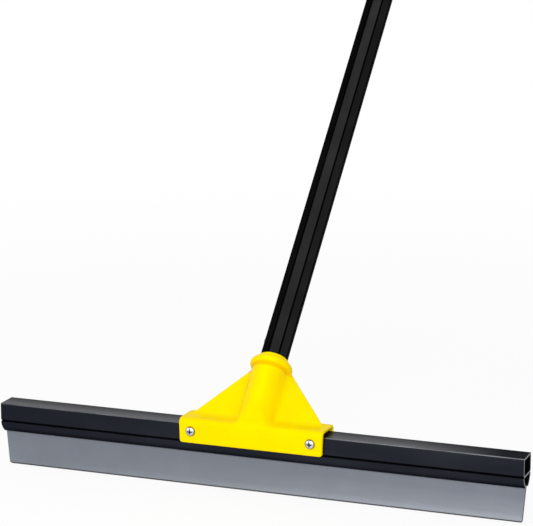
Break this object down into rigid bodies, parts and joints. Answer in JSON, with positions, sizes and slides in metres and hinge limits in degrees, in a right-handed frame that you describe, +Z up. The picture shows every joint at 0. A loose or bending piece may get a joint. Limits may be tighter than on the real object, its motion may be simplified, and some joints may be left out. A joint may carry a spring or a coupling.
{
  "type": "floor squeegee",
  "caption": "Floor squeegee: rubber blade sliding in a slotted black rail, yellow bolted bracket with a leaning threaded socket, and a screw-in grooved pole with grip and hanging loop.",
  "frame": {"origin": "middle of the blade's wiping edge, on the floor", "axes": "+X along the rail to the right as seen from the front, +Y to the back, the way the pole leans, +Z up"},
  "size_m": [0.508, 0.9232, 0.9727],
  "materials": {
    "black_aluminium": "black anodised, satin",
    "grey_rubber": "smooth matte grey",
    "yellow_plastic": "moulded satin yellow",
    "zinc_steel": "bright zinc plate",
    "washer_steel": "zinc plate",
    "nut_steel": "zinc plate",
    "blue_nylon": "blue nylon",
    "pole_aluminium": "black coated, satin",
    "black_nylon": "black nylon",
    "rivet_aluminium": "plain aluminium",
    "grip_rubber": "matte black",
    "plug_plastic": "moulded black",
    "loop_plastic": "moulded black",
    "spring_steel": "plain spring steel"
  },
  "bodies": {
    "head": {"frame_rail": "black_aluminium", "pole_bracket": "yellow_plastic", "bracket_bolts": "zinc_steel", "bolt_washers": "washer_steel", "lock_nuts": "nut_steel", "nut_inserts": "blue_nylon"},
    "blade": {"rubber_blade": "grey_rubber"},
    "hanger": {"hang_loop": "loop_plastic", "loop_clip": "spring_steel"},
    "pole": {"pole_tube": "pole_aluminium", "threaded_tip": "black_nylon", "tip_rivet": "rivet_aluminium", "hand_grip": "grip_rubber", "end_plug": "plug_plastic"}
  },
  "joints": [
    {"name": "blade_slide", "type": "slide", "parent": "head", "child": "blade", "axis": [1, 0, 0], "range_m": [-0.5, 0.5]},
    {"name": "pole_lift", "type": "slide", "parent": "head", "child": "hanger", "axis": [0, 0.7071, 0.7071], "range_m": [0, 0.02032]},
    {"name": "pole_turn", "type": "hinge", "parent": "hanger", "child": "pole", "pos_m": [0, -0.007, 0.0613], "axis": [0, 0.7071, 0.7071], "range_deg": [-10, 1450]}
  ],
  "couplings": [
    {"joint": "pole_turn", "follows": "pole_lift", "rad_per_m": 1236.8}
  ]
}
